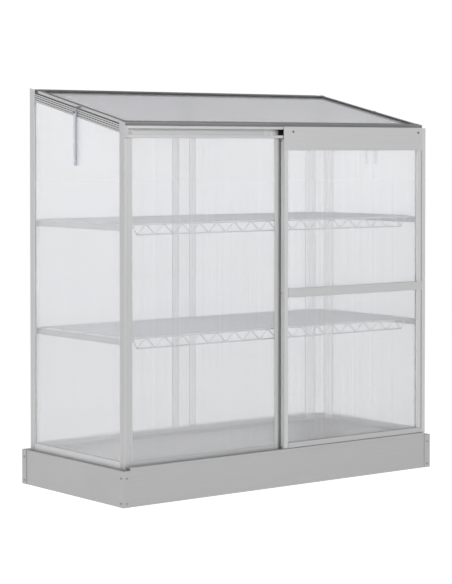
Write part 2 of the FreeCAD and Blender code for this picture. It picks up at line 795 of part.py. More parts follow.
# Wire shelves: welded cross wires on long rods, with a zigzag truss under the front edge
support_out = half_width - support_from_post
support_in = support_out - support_sheet
ledge_end = support_in - support_ledge
rod_half = support_in - shelf_end_gap
wire_gaps = int((2 * rod_half - wire_pitch) // wire_pitch)
shelf_front = -half_depth + shelf_from_front
shelf_back = half_depth - shelf_from_back
rod_step = (shelf_back - shelf_front) / long_rods
chord_half = ledge_end - shelf_end_gap
truss_half = chord_half - truss_leg - truss_inset
truss_bays = round(2 * truss_half / truss_pitch)
bay = 2 * truss_half / truss_bays
for place, height in zip(("upper", "lower"), shelf_heights):
    rod_z = base_height + height
    wire_z = rod_z + chord_radius + wire_radius - weld
    lines = []
    for k in range(1, long_rods + 1):
        y = shelf_front + k * rod_step
        lines.append(rod(V(-rod_half, y, rod_z), V(rod_half, y, rod_z), chord_radius))
    for k in range(wire_gaps + 1):
        x = (k - wire_gaps / 2) * wire_pitch
        lines.append(rod(V(x, shelf_front - shelf_overhang, wire_z),
                         V(x, shelf_back + shelf_overhang, wire_z), wire_radius))
    save(place + "_shelf_deck", join(lines))

    chord_z = rod_z - weld
    low_z = chord_z - truss_depth
    truss = [
        rod(V(-chord_half, shelf_front, chord_z), V(chord_half, shelf_front, chord_z), chord_radius),
        rod(V(-truss_half - chord_radius, shelf_front, low_z),
            V(truss_half + chord_radius, shelf_front, low_z), chord_radius),
    ]
    for side in (-1, 1):
        truss.append(rod(V(side * truss_half, shelf_front, low_z),
                         V(side * (truss_half + truss_leg), shelf_front, chord_z), truss_wire_radius))
    for k in range(truss_bays):
        x = -truss_half + k * bay
        peak = V(x + bay / 2, shelf_front, chord_z)
        truss.append(rod(V(x, shelf_front, low_z), peak, truss_wire_radius))
        truss.append(rod(peak, V(x + bay, shelf_front, low_z), truss_wire_radius))
    save(place + "_shelf_truss", join(truss))

    ledge_top = rod_z - chord_radius
    upright_top = ledge_top + support_upstand
    support_end = half_depth - wall_depth - touch
    support = join([
        box(-support_out, -support_in, -support_end, support_end,
            upright_top - support_height, upright_top),
        box(-support_in, -ledge_end, -support_end, support_end,
            ledge_top - support_sheet, ledge_top),
    ])
    save(place + "_shelf_support_left", support)
    save(place + "_shelf_support_right", other_side(support))
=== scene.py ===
import math

import bmesh
import bpy
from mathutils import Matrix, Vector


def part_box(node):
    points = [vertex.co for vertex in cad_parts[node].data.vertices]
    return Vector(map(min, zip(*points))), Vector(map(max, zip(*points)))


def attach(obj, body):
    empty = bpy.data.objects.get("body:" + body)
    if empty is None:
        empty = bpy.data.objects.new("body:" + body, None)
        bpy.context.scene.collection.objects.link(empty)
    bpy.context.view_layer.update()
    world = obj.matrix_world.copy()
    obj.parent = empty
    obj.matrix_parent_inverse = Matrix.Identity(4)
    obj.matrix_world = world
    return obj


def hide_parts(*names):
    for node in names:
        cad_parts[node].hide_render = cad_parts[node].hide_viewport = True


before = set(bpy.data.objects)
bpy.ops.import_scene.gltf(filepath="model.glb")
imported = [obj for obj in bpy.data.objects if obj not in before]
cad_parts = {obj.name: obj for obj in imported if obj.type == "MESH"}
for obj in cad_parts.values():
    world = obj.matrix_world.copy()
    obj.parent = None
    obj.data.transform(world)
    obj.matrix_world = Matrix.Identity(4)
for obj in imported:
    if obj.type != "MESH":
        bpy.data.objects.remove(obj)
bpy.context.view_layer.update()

# Base tray: four folded aluminium sheets, each with a flange turned inwards at the top and the bottom,
# held together by an angle outside every corner. The sheets keep the faint lines of the rolling mill
# and have their cut edges broken a little. Their inner faces are painted lighter, as painted light.
base_boards = [
    ("base_front_board", (0.0, 1.0, 0.0)), ("base_back_board", (0.0, -1.0, 0.0)),
    ("base_left_board", (1.0, 0.0, 0.0)), ("base_right_board", (-1.0, 0.0, 0.0)),
]
base_corners = [
    "base_corner_front_left", "base_corner_front_right", "base_corner_back_left", "base_corner_back_right",
]
base_edge_break = 0.00035
base_tone = (0.39, 0.39, 0.392)
base_inner_painted_light_tone = (0.48, 0.48, 0.482)
rolled_grain = (6.0, 6.0, 420.0)
base_dullness = 0.42
base_grain_depth = 0.05
touching = 2e-6
flat_bend = math.radians(0.4)
corner_bend = math.radians(40)
smooth_bend = math.radians(30)
same_way = 0.8
below_all = (-1.0, -1.0, -1.0)
above_all = (2.0, 2.0, 2.0)


def fit_piece(piece, node, body):
    """Puts a finished piece on its body, in the place of its CAD piece, which it hides."""
    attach(piece, body)
    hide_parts(node)


def merged_shape(node):
    """The CAD piece with its loose triangles joined and every flat stretch made one face."""
    shape = bmesh.new()
    shape.from_mesh(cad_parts[node].data)
    bmesh.ops.remove_doubles(shape, verts=shape.verts, dist=touching)
    bmesh.ops.dissolve_limit(shape, angle_limit=flat_bend, verts=shape.verts, edges=shape.edges)
    return shape


def new_piece(name, shape, finish):
    """Makes a shape a piece of the scene, with one finish."""
    mesh = bpy.data.meshes.new(name)
    shape.to_mesh(mesh)
    shape.free()
    mesh.materials.append(finish)
    piece = bpy.data.objects.new(name, mesh)
    bpy.context.scene.collection.objects.link(piece)
    return piece


def eased_copy(node, body, finish, edge_break):
    """The CAD piece again with its sharp edges broken. Its flat faces stay flat beside the rounding."""
    shape = merged_shape(node)
    sharp = [edge for edge in shape.edges if edge.is_manifold and edge.calc_face_angle() > corner_bend]
    rounded = set(bmesh.ops.bevel(shape, geom=sharp, offset=edge_break, segments=2, profile=0.5,
                                  affect="EDGES", clamp_overlap=True)["faces"])
    for face in shape.faces:
        face.smooth = True
    for edge in shape.edges:
        meets_flat = len(rounded.intersection(edge.link_faces)) == 1
        edge.smooth = not meets_flat and edge.calc_face_angle(0.0) < smooth_bend
    bmesh.ops.triangulate(shape, faces=[face for face in shape.faces if len(face.verts) > 4])
    piece = new_piece(node + "_eased", shape, finish)
    fit_piece(piece, node, body)
    return piece


def paint_tone_on_faces(piece, finish, towards, low=below_all, high=above_all):
    """Gives the faces that look along towards and lie between two corners another finish; every use here
    is painted light or painted shade.
    """
    mesh = piece.data
    mesh.materials.append(finish)
    for face in mesh.polygons:
        looks = sum(a * b for a, b in zip(face.normal, towards)) > same_way
        if looks and all(a < c < b for a, c, b in zip(low, face.center, high)):
            face.material_index = len(mesh.materials) - 1


def tree_tools(tree):
    """Short ways to add nodes to a tree, to feed their sockets, and to make sums and vectors."""
    def add(kind, **settings):
        node = tree.nodes.new(kind)
        for key, value in settings.items():
            setattr(node, key, value)
        return node

    def feed(socket, value):
        if isinstance(value, (int, float, tuple)):
            socket.default_value = value
        else:
            tree.links.new(value, socket)

    def sums(operation, a, b):
        node = add("ShaderNodeMath", operation=operation)
        feed(node.inputs[0], a)
        feed(node.inputs[1], b)
        return node.outputs["Value"]

    def vector(x, y, z):
        node = add("ShaderNodeCombineXYZ")
        for socket, value in zip(node.inputs, (x, y, z)):
            feed(socket, value)
        return node.outputs["Vector"]

    return add, feed, sums, vector


def new_finish(name):
    """A node material, its surface shader and the tools for its tree."""
    finish = bpy.data.materials.new(name)
    finish.use_nodes = True
    return finish, finish.node_tree.nodes["Principled BSDF"], tree_tools(finish.node_tree)


def uneven_tone(add, tone, darker, lighter, spread):
    """A ramp from a darker to a lighter share of one tone, spread to either side of its middle."""
    shade = add("ShaderNodeValToRGB")
    for stop, share, side in zip(shade.color_ramp.elements, (darker, lighter), (-1, 1)):
        stop.position = 0.5 + side * spread
        stop.color = [share * part for part in tone] + [1.0]
    return shade


def drawn_aluminium(name, tone, grain, dullness, grain_depth):
    """Satin aluminium with drawing lines: grain holds the lines' closeness per metre in X, Y and Z."""
    finish, shader, (add, feed, sums, vector) = new_finish(name)
    place = add("ShaderNodeTexCoord").outputs["Object"]
    stretch = add("ShaderNodeMapping")
    feed(stretch.inputs["Vector"], place)
    feed(stretch.inputs["Scale"], grain)
    lines = add("ShaderNodeTexNoise")
    feed(lines.inputs["Vector"], stretch.outputs["Vector"])
    feed(lines.inputs["Scale"], 1.0)
    feed(lines.inputs["Detail"], 4.0)
    feed(lines.inputs["Roughness"], 0.65)
    clouds = add("ShaderNodeTexNoise")
    feed(clouds.inputs["Vector"], place)
    feed(clouds.inputs["Scale"], 7.0)
    feed(clouds.inputs["Detail"], 3.0)
    shade = uneven_tone(add, tone, darker=0.965, lighter=1.03, spread=0.2)
    feed(shade.inputs["Fac"], lines.outputs["Fac"])
    dull = add("ShaderNodeMapRange")
    feed(dull.inputs["Value"], clouds.outputs["Fac"])
    feed(dull.inputs["From Min"], 0.3)
    feed(dull.inputs["From Max"], 0.7)
    feed(dull.inputs["To Min"], dullness - 0.05)
    feed(dull.inputs["To Max"], dullness + 0.06)
    relief = add("ShaderNodeBump")
    feed(relief.inputs["Height"], lines.outputs["Fac"])
    feed(relief.inputs["Strength"], grain_depth)
    feed(relief.inputs["Distance"], 0.0002)
    feed(shader.inputs["Base Color"], shade.outputs["Color"])
    feed(shader.inputs["Roughness"], dull.outputs["Result"])
    feed(shader.inputs["Normal"], relief.outputs["Normal"])
    feed(shader.inputs["Metallic"], 0.4)
    return finish


base_sheet = drawn_aluminium("rolled_base_sheet", base_tone, rolled_grain, base_dullness, base_grain_depth)
base_inner_painted_light = drawn_aluminium("base_inner_painted_light", base_inner_painted_light_tone, rolled_grain, base_dullness,
                                   base_grain_depth)
for node, inwards in base_boards:
    board = eased_copy(node, "frame", base_sheet, base_edge_break)
    # The boards' inward faces get the lighter copy of the sheet: painted light.
    paint_tone_on_faces(board, base_inner_painted_light, inwards)
for node in base_corners:
    eased_copy(node, "frame", base_sheet, base_edge_break)

# Base screws: sixteen zinc-plated pan heads with a cross recess, two through each leg of every corner
# angle into the boards behind.
base_screw_head = 0.003
base_screw_height = 0.0018
base_screw_recess = 0.0009
base_screw_shank = 0.0017
base_screw_length = 0.007
base_screw_inset = 0.013
base_screw_low = 0.012
base_screw_below_top = 0.023
rim_fall = 0.55
recess_length = 1.1
recess_width = 0.24
screw_turn_seed = 7
screw_tone = (0.3, 0.3, 0.31)
crease_bend = math.radians(35)


def new_tree(name, lengths, counts, made):
    """A Geometry Nodes tree with inputs for places, lengths, counts and a finish, and one result."""
    tree = bpy.data.node_groups.new(name, "GeometryNodeTree")
    inputs = [("Places", "NodeSocketGeometry")]
    inputs += [(length, "NodeSocketFloat") for length in lengths]
    inputs += [(count, "NodeSocketInt") for count in counts]
    inputs += [("Finish", "NodeSocketMaterial")]
    for socket, kind in inputs:
        tree.interface.new_socket(socket, in_out="INPUT", socket_type=kind)
    tree.interface.new_socket(made, in_out="OUTPUT", socket_type="NodeSocketGeometry")
    return tree


def finish_tree(tools, shapes, finish, made):
    """Joins the shapes, makes them real, gives them their finish and hands them out."""
    add, feed, sums, vector = tools
    together = add("GeometryNodeJoinGeometry")
    for shape in shapes:
        feed(together.inputs["Geometry"], shape)
    real = add("GeometryNodeRealizeInstances")
    feed(real.inputs["Geometry"], together.outputs["Geometry"])
    paint = add("GeometryNodeSetMaterial")
    feed(paint.inputs["Geometry"], real.outputs["Geometry"])
    feed(paint.inputs["Material"], finish)
    feed(add("NodeGroupOutput").inputs[made], paint.outputs["Geometry"])


def pan_head_tree():
    """A screw with a domed head and a cross recess on every point, its head towards facing."""
    tree = new_tree("pan_head_screws",
                    ("Head Radius", "Head Height", "Recess", "Shank Radius", "Shank Length"), (), "Screws")
    tools = tree_tools(tree)
    add, feed, sums, vector = tools
    given = add("NodeGroupInput").outputs
    head_radius = given["Head Radius"]
    head_height = given["Head Height"]

    head = add("GeometryNodeMeshCylinder", fill_type="TRIANGLE_FAN")
    feed(head.inputs["Vertices"], 20)
    feed(head.inputs["Fill Segments"], 4)
    feed(head.inputs["Radius"], head_radius)
    feed(head.inputs["Depth"], head_height)
    spot = add("ShaderNodeSeparateXYZ")
    feed(spot.inputs["Vector"], add("GeometryNodeInputPosition").outputs["Position"])
    x, y, z = spot.outputs
    across = sums("ADD", sums("MULTIPLY", x, x), sums("MULTIPLY", y, y))
    share = sums("DIVIDE", across, sums("MULTIPLY", head_radius, head_radius))
    on_top = sums("GREATER_THAN", z, 0.0)
    fall = sums("MULTIPLY", sums("MULTIPLY", share, on_top), sums("MULTIPLY", head_height, -rim_fall))
    dome = add("GeometryNodeSetPosition")
    feed(dome.inputs["Geometry"], head.outputs["Mesh"])
    feed(dome.inputs["Offset"], vector(0.0, 0.0, sums("ADD", fall, sums("MULTIPLY", head_height, 0.5))))

    cross = add("GeometryNodeJoinGeometry")
    for length, width in ((recess_length, recess_width), (recess_width, recess_length)):
        blade = add("GeometryNodeMeshCube")
        feed(blade.inputs["Size"], vector(sums("MULTIPLY", head_radius, length),
                                          sums("MULTIPLY", head_radius, width),
                                          sums("MULTIPLY", given["Recess"], 2.0)))
        lift = add("GeometryNodeTransform")
        feed(lift.inputs["Geometry"], blade.outputs["Mesh"])
        feed(lift.inputs["Translation"], vector(0.0, 0.0, head_height))
        feed(cross.inputs["Geometry"], lift.outputs["Geometry"])
    cut = add("GeometryNodeMeshBoolean", operation="DIFFERENCE", solver="EXACT")
    feed(cut.inputs["Self Intersection"], True)
    feed(cut.inputs["Mesh 1"], dome.outputs["Geometry"])
    feed(cut.inputs["Mesh 2"], cross.outputs["Geometry"])

    shank = add("GeometryNodeMeshCylinder", fill_type="NGON")
    feed(shank.inputs["Vertices"], 12)
    feed(shank.inputs["Radius"], given["Shank Radius"])
    feed(shank.inputs["Depth"], given["Shank Length"])
    sink = add("GeometryNodeTransform")
    feed(sink.inputs["Geometry"], shank.outputs["Mesh"])
    feed(sink.inputs["Translation"], vector(0.0, 0.0, sums("MULTIPLY", given["Shank Length"], -0.5)))
    screw = add("GeometryNodeJoinGeometry")
    feed(screw.inputs["Geometry"], cut.outputs["Mesh"])
    feed(screw.inputs["Geometry"], sink.outputs["Geometry"])

    facing = add("GeometryNodeInputNamedAttribute", data_type="FLOAT_VECTOR")
    facing.inputs["Name"].default_value = "facing"
    aim = add("FunctionNodeAlignRotationToVector", axis="Z")
    feed(aim.inputs["Vector"], facing.outputs["Attribute"])
    turn = add("FunctionNodeRandomValue", data_type="FLOAT")
    least, most = turn.inputs[2:4]
    feed(least, 0.0)
    feed(most, math.pi)
    feed(turn.inputs["Seed"], screw_turn_seed)
    spin = add("FunctionNodeAxisAngleToRotation")
    feed(spin.inputs["Axis"], (0.0, 0.0, 1.0))
    feed(spin.inputs["Angle"], turn.outputs[1])
    aim_and_spin = add("FunctionNodeRotateRotation", rotation_space="LOCAL")
    feed(aim_and_spin.inputs["Rotation"], aim.outputs["Rotation"])
    feed(aim_and_spin.inputs["Rotate By"], spin.outputs["Rotation"])
    plant = add("GeometryNodeInstanceOnPoints")
    feed(plant.inputs["Points"], given["Places"])
    feed(plant.inputs["Instance"], screw.outputs["Geometry"])
    feed(plant.inputs["Rotation"], aim_and_spin.outputs["Rotation"])
    finish_tree(tools, [plant.outputs["Instances"]], given["Finish"], "Screws")
    return tree


def grown_mesh(name, tree, sizes, places=()):
    """Runs a Geometry Nodes tree on points, given as (place, facing) pairs, and keeps a plain mesh."""
    seed = bpy.data.meshes.new(name + "_places")
    seed.from_pydata([place for place, facing in places], [], [])
    if places:
        towards = seed.attributes.new("facing", "FLOAT_VECTOR", "POINT")
        for item, (place, facing) in zip(towards.data, places):
            item.vector = facing
    piece = bpy.data.objects.new(name, seed)
    bpy.context.scene.collection.objects.link(piece)
    grow = piece.modifiers.new("grow", "NODES")
    grow.node_group = tree
    for socket in tree.interface.items_tree:
        if socket.in_out == "INPUT" and socket.name in sizes:
            grow[socket.identifier] = sizes[socket.name]
    bpy.context.view_layer.update()
    ready = piece.evaluated_get(bpy.context.evaluated_depsgraph_get())
    mesh = bpy.data.meshes.new_from_object(ready)
    piece.modifiers.remove(grow)
    piece.data = mesh
    bpy.data.meshes.remove(seed)
    for face in mesh.polygons:
        face.use_smooth = True
    mesh.set_sharp_from_angle(angle=crease_bend)
    return piece


def plated_steel(name, tone, dullness):
    """Zinc-plated steel with a fine mottling."""
    finish, shader, (add, feed, sums, vector) = new_finish(name)
    mottle = add("ShaderNodeTexNoise")
    feed(mottle.inputs["Vector"], add("ShaderNodeTexCoord").outputs["Object"])
    feed(mottle.inputs["Scale"], 900.0)
    feed(mottle.inputs["Detail"], 3.0)
    shade = uneven_tone(add, tone, darker=0.8, lighter=1.15, spread=0.15)
    feed(shade.inputs["Fac"], mottle.outputs["Fac"])
    dull = add("ShaderNodeMapRange")
    feed(dull.inputs["Value"], mottle.outputs["Fac"])
    feed(dull.inputs["To Min"], dullness - 0.08)
    feed(dull.inputs["To Max"], dullness + 0.1)
    feed(shader.inputs["Base Color"], shade.outputs["Color"])
    feed(shader.inputs["Roughness"], dull.outputs["Result"])
    feed(shader.inputs["Metallic"], 1.0)
    return finish


screw_tree = pan_head_tree()
screw_steel = plated_steel("zinc_plated_screw", screw_tone, dullness=0.35)
tray_low, tray_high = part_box("base_corner_front_left")
tray_half_width = -tray_low.x
tray_half_depth = -tray_low.y
tray_height = tray_high.z
base_screw_places = []
for side_x in (-1, 1):
    for side_y in (-1, 1):
        for z in (base_screw_low, tray_height - base_screw_below_top):
            base_screw_places.append(((side_x * (tray_half_width - base_screw_inset),
                                       side_y * tray_half_depth, z), (0, side_y, 0)))
            base_screw_places.append(((side_x * tray_half_width,
                                       side_y * (tray_half_depth - base_screw_inset), z), (side_x, 0, 0)))
base_screws = grown_mesh("base_pan_heads", screw_tree, {
    "Head Radius": base_screw_head,
    "Head Height": base_screw_height,
    "Recess": base_screw_recess,
    "Shank Radius": base_screw_shank,
    "Shank Length": base_screw_length,
    "Finish": screw_steel,
}, base_screw_places)
fit_piece(base_screws, "base_screws", "frame")

# Corner posts: slotted aluminium extrusions that stand on the base tray and hold the edges of the
# sheets. Two shallow grooves run down each outer face, and the drawing lines run upwards. Inside the
# slots, and on the back posts' faces towards the front, the metal is painted much lighter, as painted
# light.
post_pieces = ["post_front_left", "post_front_right", "post_back_left", "post_back_right"]
rail_edge_break = 0.0003
rail_tone = (0.46, 0.46, 0.462)
slot_painted_light_tone = (0.85, 0.85, 0.852)
upright_grain = (480.0, 480.0, 5.0)
rail_dullness = 0.38
rail_grain_depth = 0.1
slot_depth = 0.0011
frontwards = (0.0, -1.0, 0.0)


def rail_aluminium(name, tone, grain):
    """The satin finish of the posts and rails."""
    return drawn_aluminium(name, tone, grain, rail_dullness, rail_grain_depth)


def rail_piece(node, body, finish):
    """A post, a rail or another length of extrusion, with its edges broken."""
    return eased_copy(node, body, finish, rail_edge_break)


def paint_light_in_slots(piece, finish):
    """Gives the upright faces inside a piece's slots, behind its outer walls, another finish: painted
    light.
    """
    mesh = piece.data
    mesh.materials.append(finish)
    across = [corner.co.x for corner in mesh.vertices]
    deep = [corner.co.y for corner in mesh.vertices]
    for face in mesh.polygons:
        inside_x = min(across) + slot_depth < face.center.x < max(across) - slot_depth
        inside_y = min(deep) + slot_depth < face.center.y < max(deep) - slot_depth
        if inside_x and inside_y and abs(face.normal.z) < 0.5:
            face.material_index = len(mesh.materials) - 1


upright_aluminium = rail_aluminium("upright_aluminium", rail_tone, upright_grain)
slot_painted_light = rail_aluminium("slot_painted_light", slot_painted_light_tone, upright_grain)
for node in post_pieces:
    post = rail_piece(node, "frame", upright_aluminium)
    # Painted light: the slot faces, and the back posts' front faces, get the much lighter copy.
    paint_light_in_slots(post, slot_painted_light)
    if "back" in node:
        paint_tone_on_faces(post, slot_painted_light, frontwards)

# Bottom rails and the ribbed door track: channels that stand on the tray's flanges between the posts.
# They are cut from drawn lengths, so their lines run along them. The back and side rails are painted
# lighter, as painted light.
foot_painted_light_tone = (0.56, 0.56, 0.562)
crosswise_grain = (5.0, 480.0, 480.0)
fore_and_aft_grain = (480.0, 5.0, 480.0)
crosswise_aluminium = rail_aluminium("crosswise_aluminium", rail_tone, crosswise_grain)
back_rail_painted_light = rail_aluminium("back_rail_painted_light", foot_painted_light_tone, crosswise_grain)
side_rail_painted_light = rail_aluminium("side_rail_painted_light", foot_painted_light_tone, fore_and_aft_grain)
for node, finish in (("bottom_track", base_sheet), ("bottom_rail_front", crosswise_aluminium),
                     ("bottom_rail_back", back_rail_painted_light), ("bottom_rail_left", side_rail_painted_light),
                     ("bottom_rail_right", side_rail_painted_light)):
    rail_piece(node, "frame", finish)

# Header: the deep channel over the front that the door's rollers run in, closed at both ends by a small
# plate and seated on the front posts. Its back wall is painted lighter as painted light, the more so
# towards a near-black painted shadow inside the channel where the shut door begins.
header_wall = 0.001
channel_painted_light_tone = (0.62, 0.62, 0.622)
painted_light_patches = (
    ("channel_painted_light_nearer", -0.062, (0.71, 0.71, 0.712)),
    ("channel_painted_light_nearest", -0.037, (0.93, 0.93, 0.932)),
)
painted_shadow_left = -0.004
painted_shadow_right = 0.026
painted_shadow_tone = (0.1, 0.1, 0.1)
painted_shadow_dullness = 0.6
score_reach = 1e-6


def score_across(piece, x):
    """Divides the faces of a piece along a line across it, without moving anything."""
    shape = bmesh.new()
    shape.from_mesh(piece.data)
    everything = shape.verts[:] + shape.edges[:] + shape.faces[:]
    bmesh.ops.bisect_plane(shape, geom=everything, dist=score_reach, plane_co=(x, 0.0, 0.0),
                           plane_no=(1.0, 0.0, 0.0))
    shape.to_mesh(piece.data)
    shape.free()


channel_painted_light = rail_aluminium("channel_painted_light_crosswise", channel_painted_light_tone, crosswise_grain)
channel_painted_shadow = drawn_aluminium("painted_shadow_aluminium", painted_shadow_tone, crosswise_grain, painted_shadow_dullness,
                            rail_grain_depth)
rail_piece("track_end_plates", "frame", crosswise_aluminium)
header = rail_piece("front_header", "frame", crosswise_aluminium)
for x in [left for name, left, tone in painted_light_patches] + [painted_shadow_left, painted_shadow_right]:
    score_across(header, x)
header_low, header_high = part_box("front_header")
inside_low = [corner + header_wall for corner in header_low]
inside_high = [corner - header_wall for corner in header_high]
# Painted light on the channel's back wall, lighter still in steps towards the painted shadow.
paint_tone_on_faces(header, channel_painted_light, frontwards, inside_low, inside_high)
for name, left, tone in painted_light_patches:
    patch_painted_light = rail_aluminium(name, tone, crosswise_grain)
    paint_tone_on_faces(header, patch_painted_light, frontwards, [left] + inside_low[1:],
                [painted_shadow_left] + inside_high[1:])
# Painted shadow: near-black faces inside the channel where it runs behind the door's head board.
for side in (frontwards, (0.0, 0.0, -1.0), (0.0, 0.0, 1.0)):
    paint_tone_on_faces(header, channel_painted_shadow, side, [painted_shadow_left] + inside_low[1:],
                [painted_shadow_right] + inside_high[1:])

# Side top rails and the back top rail: grooved bars that slope from the front posts to the back posts,
# and the channel along the back with the round socket that the lid's bead turns in.
fore_and_aft_aluminium = rail_aluminium("fore_and_aft_aluminium", rail_tone, fore_and_aft_grain)
for node in ("top_rail_left", "top_rail_right"):
    rail_piece(node, "frame", fore_and_aft_aluminium)
rail_piece("back_top_rail", "frame", crosswise_aluminium)

# Mullions and the closing jamb: upright aluminium channels that hold the sheets' edges at the middle of
# the front and the back, and the one that the door shuts against. They stand between the rails. The back
# mullion's front faces and the front mullion's mouth are painted lighter, as painted light.
mullion_painted_light_tone = (0.6, 0.6, 0.602)
door_painted_light_tone = (0.505, 0.505, 0.507)
mullion_lip = 0.0008
mullion_painted_light = rail_aluminium("mullion_painted_light", mullion_painted_light_tone, upright_grain)
# The door's stiles and the jamb are painted a little lighter than the other rails: painted light.
door_upright_painted_light = rail_aluminium("door_upright_painted_light", door_painted_light_tone, upright_grain)
rail_piece("door_jamb", "frame", door_upright_painted_light)
back_mullion = rail_piece("back_mullion", "frame", upright_aluminium)
# Painted light on the back mullion's front faces and on the front mullion's mouth.
paint_tone_on_faces(back_mullion, mullion_painted_light, frontwards)
front_mullion = rail_piece("front_mullion", "frame", upright_aluminium)
mullion_mouth = (-1.0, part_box("front_mullion")[0].y + mullion_lip, 0.0)
for side in (frontwards, (-1.0, 0.0, 0.0), (1.0, 0.0, 0.0)):
    paint_tone_on_faces(front_mullion, mullion_painted_light, side, mullion_mouth)

# Fixed twin-wall sheets: clear polycarbonate skins with a rib between them every few millimetres, slid
# into the slots of the posts and rails. The flutes bend the view a little to either side. The sheets are
# painted darker towards the bottom, and the left sheet darker all over, as painted shade.
flute_pitch = 0.0057
flute_tilt = 0.066
flute_steepness = 5.0
rib_begins = 0.4
rib_full = 0.48
streaks_per_metre = 90.0
streak_strength = 0.38
sheet_clearness = 0.85
sheet_tint = (0.919, 0.92, 0.929)
left_sheet_painted_shade_tint = (0.897, 0.898, 0.907)
rib_tint = (0.82, 0.822, 0.835)
shadow_tint = (0.86, 0.87, 0.88, 1.0)
sheet_foot = 0.15
sheet_head = 1.1
foot_shade = 0.91
along_x = (1.0, 0.0, 0.0)
along_y = (0.0, 1.0, 0.0)


def twin_wall(name, across, outward, clear_tint=sheet_tint, dark_tint=rib_tint, tilt=flute_tilt,
              clearness=sheet_clearness):
    """Fluted clear sheet. Across is the axis that the flutes repeat along, outward its outer face."""
    finish, shader, (add, feed, sums, vector) = new_finish(name)
    place = add("ShaderNodeTexCoord").outputs["Object"]
    along = add("ShaderNodeVectorMath", operation="DOT_PRODUCT")
    feed(along.inputs[0], place)
    feed(along.inputs[1], across)
    count = sums("DIVIDE", along.outputs["Value"], flute_pitch)
    swing = sums("SINE", sums("MULTIPLY", count, 2 * math.pi), 0.0)
    side = add("ShaderNodeClamp")
    feed(side.inputs["Value"], sums("MULTIPLY", swing, flute_steepness))
    feed(side.inputs["Min"], -1.0)
    feed(side.inputs["Max"], 1.0)

    surface = add("ShaderNodeNewGeometry").outputs
    outer = add("ShaderNodeVectorMath", operation="DOT_PRODUCT")
    feed(outer.inputs[0], surface["Normal"])
    feed(outer.inputs[1], outward)
    from_outside = sums("SUBTRACT", 1.0, surface["Backfacing"])
    on_outer = sums("MULTIPLY", sums("GREATER_THAN", outer.outputs["Value"], 0.5), from_outside)
    lean = add("ShaderNodeVectorMath", operation="SCALE")
    feed(lean.inputs[0], across)
    feed(lean.inputs["Scale"], sums("MULTIPLY", sums("MULTIPLY", side.outputs["Result"], tilt), on_outer))
    bent = add("ShaderNodeVectorMath", operation="ADD")
    feed(bent.inputs[0], surface["Normal"])
    feed(bent.inputs[1], lean.outputs["Vector"])
    unit = add("ShaderNodeVectorMath", operation="NORMALIZE")
    feed(unit.inputs[0], bent.outputs["Vector"])
    feed(shader.inputs["Normal"], unit.outputs["Vector"])

    rib = add("ShaderNodeMapRange", interpolation_type="SMOOTHSTEP")
    feed(rib.inputs["Value"], sums("ABSOLUTE", sums("SUBTRACT", sums("FRACT", count, 0.0), 0.5), 0.0))
    feed(rib.inputs["From Min"], rib_begins)
    feed(rib.inputs["From Max"], rib_full)
    streak = add("ShaderNodeTexNoise", noise_dimensions="1D")
    feed(streak.inputs["W"], sums("MULTIPLY", along.outputs["Value"], streaks_per_metre))
    feed(streak.inputs["Scale"], 1.0)
    feed(streak.inputs["Detail"], 3.0)
    thin = add("ShaderNodeMapRange")
    feed(thin.inputs["Value"], streak.outputs["Fac"])
    feed(thin.inputs["From Min"], 0.35)
    feed(thin.inputs["From Max"], 0.65)
    feed(thin.inputs["To Min"], 0.0)
    feed(thin.inputs["To Max"], streak_strength)
    tint = add("ShaderNodeMix", data_type="RGBA")
    feed(tint.inputs["Factor"], sums("MAXIMUM", rib.outputs["Result"], thin.outputs["Result"]))
    feed(tint.inputs["A"], clear_tint + (1.0,))
    feed(tint.inputs["B"], dark_tint + (1.0,))
    # Painted shade: the sheet's colour is darkened towards the bottom.
    level = add("ShaderNodeSeparateXYZ")
    feed(level.inputs["Vector"], place)
    painted_shade_by_height = add("ShaderNodeMapRange")
    feed(painted_shade_by_height.inputs["Value"], level.outputs["Z"])
    feed(painted_shade_by_height.inputs["From Min"], sheet_foot)
    feed(painted_shade_by_height.inputs["From Max"], sheet_head)
    feed(painted_shade_by_height.inputs["To Min"], foot_shade)
    feed(painted_shade_by_height.inputs["To Max"], 1.0)
    shaded = add("ShaderNodeVectorMath", operation="SCALE")
    feed(shaded.inputs[0], tint.outputs["Result"])
    feed(shaded.inputs["Scale"], painted_shade_by_height.outputs["Result"])
    feed(shader.inputs["Base Color"], shaded.outputs["Vector"])

    feed(shader.inputs["Roughness"], 0.02)
    feed(shader.inputs["IOR"], 1.45)
    feed(shader.inputs["Transmission Weight"], clearness)
    open_air = add("ShaderNodeBsdfTransparent")
    feed(open_air.inputs["Color"], shadow_tint)
    choose = add("ShaderNodeMixShader")
    feed(choose.inputs["Fac"], add("ShaderNodeLightPath").outputs["Is Shadow Ray"])
    feed(choose.inputs[1], shader.outputs["BSDF"])
    feed(choose.inputs[2], open_air.outputs["BSDF"])
    feed(finish.node_tree.nodes["Material Output"].inputs["Surface"], choose.outputs["Shader"])
    return finish


def sheet_piece(node, body, finish):
    """The CAD sheet again as one closed mesh, so that light passes through clean faces."""
    piece = new_piece(node + "_clear", merged_shape(node), finish)
    fit_piece(piece, node, body)


front_sheet = twin_wall("twin_wall_front", along_x, frontwards)
back_sheet = twin_wall("twin_wall_back", along_x, (0.0, 1.0, 0.0))
# The left sheet gets a darker tint: painted shade.
left_sheet = twin_wall("twin_wall_left", along_y, (-1.0, 0.0, 0.0), left_sheet_painted_shade_tint)
right_sheet = twin_wall("twin_wall_right", along_y, (1.0, 0.0, 0.0))
for node, finish in (("front_fixed_panel", front_sheet), ("back_panel_left", back_sheet),
                     ("back_panel_right", back_sheet), ("side_panel_left", left_sheet),
                     ("side_panel_right", right_sheet)):
    sheet_piece(node, "frame", finish)

